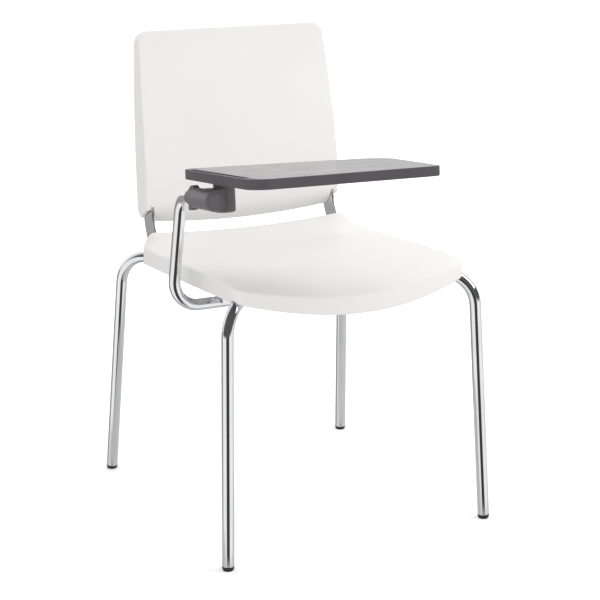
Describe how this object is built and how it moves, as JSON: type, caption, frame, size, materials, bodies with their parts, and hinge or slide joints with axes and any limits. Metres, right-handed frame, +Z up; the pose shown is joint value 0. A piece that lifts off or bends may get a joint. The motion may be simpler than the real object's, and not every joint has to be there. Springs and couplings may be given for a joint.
{
  "type": "tablet arm chair",
  "caption": "Stacking chair with moulded seat and backrest on a bent-tube frame, and a writing tablet that flips up and swings down beside the seat.",
  "frame": {"origin": "on the floor, below the middle of the whole outline's box (within 3 mm)", "axes": "+Z up, the sitter faces -Y, the tablet is on the sitter's right at -X"},
  "size_m": [0.5208, 0.6599, 0.8231],
  "materials": {
    "white_shell": "fine satin moulded polypropylene",
    "chrome_tube": "bright chrome plate",
    "black_plastic": "matt moulded",
    "mechanism_casting": "matt glass-filled nylon",
    "zinc_steel": "zinc plated",
    "bush_plastic": "natural acetal",
    "black_steel": "black powder coat",
    "tablet_plastic": "fine satin moulded",
    "tablet_inlay": "satin, fine grained"
  },
  "bodies": {
    "chair": {"side_frame_left": "chrome_tube", "side_frame_right": "chrome_tube", "front_cross_tube": "chrome_tube", "rear_cross_tube": "chrome_tube", "arm_tube": "chrome_tube", "back_upright_left": "chrome_tube", "back_upright_right": "chrome_tube", "seat_lugs": "chrome_tube", "arm_saddle": "chrome_tube", "seat_shell": "white_shell", "backrest_shell": "white_shell", "foot_cap_front_left": "black_plastic", "foot_cap_front_right": "black_plastic", "foot_cap_rear_left": "black_plastic", "foot_cap_rear_right": "black_plastic", "arm_end_plug": "black_plastic", "arm_collar": "mechanism_casting", "seat_screws": "zinc_steel", "backrest_screws": "zinc_steel", "arm_bolts": "zinc_steel", "arm_nuts": "zinc_steel", "collar_set_screw": "zinc_steel", "flip_pin": "zinc_steel", "spring_washers": "zinc_steel", "flip_nut": "zinc_steel"},
    "knuckle": {"knuckle_housing": "mechanism_casting", "barrel_bush": "bush_plastic", "swing_bush": "bush_plastic", "friction_washer": "bush_plastic", "barrel_end_cap": "black_plastic", "hub_cap": "black_plastic"},
    "tablet": {"swing_pin": "zinc_steel", "swing_washer": "zinc_steel", "swing_nut": "zinc_steel", "swing_stop_pin": "zinc_steel", "mounting_plate": "black_steel", "plate_screws": "zinc_steel", "tablet_tray": "tablet_plastic", "tablet_inlay": "tablet_inlay"}
  },
  "joints": [
    {"name": "tablet_flip", "type": "hinge", "parent": "chair", "child": "knuckle", "pos_m": [-0.2385, -0.1135, 0.5996], "axis": [0, -0.9942, 0.108], "range_deg": [0, 90]},
    {"name": "tablet_swing", "type": "hinge", "parent": "knuckle", "child": "tablet", "pos_m": [-0.203, -0.11357, 0.59898], "axis": [-0.0175, -0.108, -0.994], "range_deg": [0, 180]}
  ]
}
